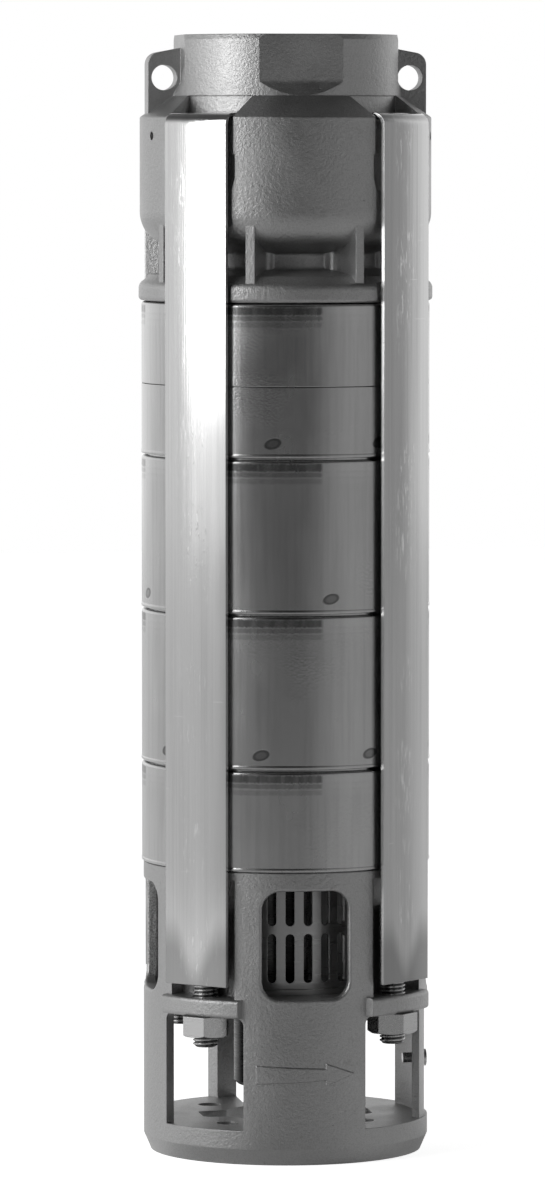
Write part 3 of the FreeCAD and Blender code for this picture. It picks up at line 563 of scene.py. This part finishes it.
def add_chamber(node, low, high, lipped_low, lipped_high):
    """Drawn chamber: x = radius * cos(angle), y = radius * sin(angle) along its closed profile."""
    profile = chamber_profile(low, high, lipped_low, lipped_high)
    radius, height = np.array(profile + profile[:1]).T[:, :, None]
    piece = surface(node + "_shell", turned(radius, height, full_turn(192)), "chamber_steel")
    piece.data.set_sharp_from_angle(angle=math.radians(35))
    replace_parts(piece, node)


def add_stud(name, node, azimuth):
    """Threaded stud, chamfered below: radius = crest - depth * groove(z / pitch - angle / turn)."""
    depth, chamfer, chamfer_slope, end_share = 0.00082, 0.0012, 1.2, 0.96
    z = np.arange(STUD_LOW, STUD_HIGH, THREAD_PITCH / 10)[:, None]
    angle = full_turn(40)
    radius = STUD_RADIUS - depth * thread_groove(z / THREAD_PITCH - angle / (2 * np.pi))
    radius = np.minimum(radius, STUD_RADIUS - chamfer + (z - STUD_LOW) * chamfer_slope)
    radius = np.concatenate([radius[:1] * 0, radius[:1] * end_share, radius, radius[-1:] * 0])
    z = np.concatenate([z[:1], z[:1], z, z[-1:]])
    spot = toward(azimuth, STUD_CIRCLE, 0)
    grid = turned(radius, z, angle, spot.x, spot.y)
    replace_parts(surface(name, grid, "machined_steel"), node)


def add_pipe_thread():
    """Closed thread ring in the collar: radius = root - depth * (1 - groove(z / pitch - angle / turn))."""
    depth, root, back = 0.0011, PIPE_THREAD_RADIUS - 0.00002, PIPE_THREAD_RADIUS + 0.0002
    z = np.arange(PIPE_THREAD_LOW, PIPE_THREAD_HIGH, PIPE_THREAD_PITCH / 10)[:, None]
    angle = full_turn(128)
    radius = root - depth * (1 - thread_groove(z / PIPE_THREAD_PITCH - angle / (2 * np.pi)))
    lead_in = np.clip((PIPE_THREAD_HIGH - z) / PIPE_THREAD_PITCH, 0, 1)
    radius = np.maximum(radius, root - depth * lead_in)
    edge = np.full_like(radius[:1], back)
    radius = np.concatenate([edge, radius, edge, edge])
    z = np.concatenate([z[:1], z, z[-1:], z[:1]])
    surface("pipe_thread", turned(radius, z, angle)[::-1], "machined_steel")


def add_arrow():
    """Raised arrow on the front pillar: radius = casting + height * smooth(clip(inset / bevel + 0.5))."""
    tail, neck, tip = -0.0199, 0.0078, 0.0199
    tail_half, neck_half, head_half, overlap = 0.0036, 0.0023, 0.0043, 0.002
    middle, edge, bevel, height, sunk, margin = 0.0357, 0.0052, 0.0007, 0.00055, 0.0002, 0.001
    along = np.linspace(tail - margin, tip + margin, 260)[:, None]
    up = np.linspace(-edge, edge, 90)[None, :]
    half = tail_half + (neck_half - tail_half) * (along - tail) / (neck - tail)
    shaft = np.minimum(half - np.abs(up), np.minimum(along - tail, neck + overlap - along))
    slope = head_half / (tip - neck)
    flank = (head_half - (along - neck) * slope - np.abs(up)) / math.hypot(1, slope)
    inset = np.maximum(shaft, np.minimum(flank, along - neck))
    share = np.clip(inset / bevel + 0.5, 0, 1)
    radius = CASTING_RADIUS - sunk + (height + sunk) * share * share * (3 - 2 * share)
    angle = along / CASTING_RADIUS + 0 * up
    grid = np.stack([radius * np.sin(angle), -radius * np.cos(angle), middle + up + 0 * along], axis=-1)
    surface("rotation_arrow", grid[::-1], "cast_steel", around=False)


def add_screw():
    """Pan-head screw: rise = height * (0.25 + 0.75 sqrt(1 - (r / R)^4)), with a cross recess."""
    head, height, seat, middle = 0.0034, 0.0015, 0.0550, 0.0345
    recess, arm_half, arm_side, arm_length, arm_end = 0.0008, 0.00045, 0.0001, 0.0019, 0.0004
    share = np.concatenate([np.linspace(0, 0.98, 40), np.array([0.995, 1.0, 1.0])])[:, None]
    angle = full_turn(96)
    y = head * share * np.cos(angle)
    z = head * share * np.sin(angle)
    rise = height * (0.25 + 0.75 * np.sqrt(np.clip(1 - share ** 4, 0, 1))) + 0 * angle
    aside = np.minimum(np.abs(y), np.abs(z))
    reach = np.maximum(np.abs(y), np.abs(z))
    slot = np.clip((arm_half - aside) / arm_side, 0, 1) * np.clip((arm_length - reach) / arm_end, 0, 1)
    rise = rise - recess * slot
    rise[-1] = -0.0001
    grid = np.stack([seat + rise, y, middle + z], axis=-1)
    surface("guard_screw_head", grid[::-1], "machined_steel")


def add_floor():
    """Plain pale floor that keeps the shadow; metal sees the studio's walls mirrored faintly in it."""
    size, seen, mirrored, even = 4.0, 0.85, 0.45, 0.05
    mesh = bpy.data.meshes.new("floor")
    corners = [(-size, -size, 0), (size, -size, 0), (size, size, 0), (-size, size, 0)]
    mesh.from_pydata(corners, [], [(0, 1, 2, 3)])
    floor = bpy.data.objects.new("floor", mesh)
    bpy.context.scene.collection.objects.link(floor)
    f = Finish("floor")
    path = f.add("ShaderNodeLightPath").outputs
    walls = f.times(f.studio_brightness(f.x, f.y), path["Is Glossy Ray"])
    strength = f.math("MULTIPLY_ADD", walls, mirrored, f.times(path["Is Camera Ray"], seen))
    strength = f.math("ADD", strength, f.times(path["Is Glossy Ray"], even))
    f.put(f.shader.inputs["Base Color"], (0.75, 0.75, 0.75, 1))
    f.put(f.shader.inputs["Roughness"], 0.9)
    f.put(f.shader.inputs["Emission Color"], (1, 1, 1, 1))
    f.put(f.shader.inputs["Emission Strength"], strength)
    mesh.materials.append(f.material)


def add_world():
    """White behind the object for the camera; grey walls with a dark side near the camera for the rest."""
    world = bpy.data.worlds.new("studio")
    bpy.context.scene.world = world
    world.use_nodes = True
    world.node_tree.nodes.clear()
    w = Nodes(world.node_tree)
    x, y, z = w.split(w.add("ShaderNodeTexCoord").outputs["Generated"])
    high = w.between(z, CEILING_STARTS, CEILING_FULL, 1.0, CEILING)
    walls = w.add("ShaderNodeBackground", Color=w.studio_brightness(x, y), Strength=high).outputs[0]
    white = w.add("ShaderNodeBackground", Color=(1, 1, 1, 1), Strength=1.0).outputs[0]
    path = w.add("ShaderNodeLightPath").outputs
    pale = w.math("MAXIMUM", path["Is Camera Ray"], path["Is Transmission Ray"])
    mix = w.add("ShaderNodeMixShader", i0=pale, i1=walls, i2=white).outputs[0]
    w.add("ShaderNodeOutputWorld", Surface=mix)


def add_softbox(name, low, high, radiance):
    """Upright soft light at the left of the camera, from a low to a high edge."""
    data = bpy.data.lights.new(name, "AREA")
    data.shape = "RECTANGLE"
    data.size = SOFTBOX_WIDTH
    data.size_y = high - low
    data.energy = radiance * math.pi * SOFTBOX_WIDTH * (high - low)
    lamp = bpy.data.objects.new(name, data)
    bpy.context.scene.collection.objects.link(lamp)
    middle = (low + high) / 2
    spot = toward(CAMERA_AZIMUTH + SOFTBOX_AZIMUTH, SOFTBOX_DISTANCE, middle)
    aim(lamp, spot, Vector((0, 0, middle)))
    lamp.visible_camera = False


bpy.context.scene.view_settings.view_transform = "Standard"
add_camera()
add_world()
add_floor()
add_softbox("left_softbox", low=0.272, high=1.2, radiance=3.3)
add_softbox("left_softbox_edge", low=0.185, high=0.27, radiance=0.35)
finishes = make_finishes()
dress_nodes()
for stud_side, stud_azimuth in STUDS:
    add_stud("threaded_stud_" + stud_side, "strap_stud_" + stud_side, math.radians(stud_azimuth))
for chamber in CHAMBERS:
    add_chamber(*chamber)
add_pipe_thread()
add_arrow()
add_screw()
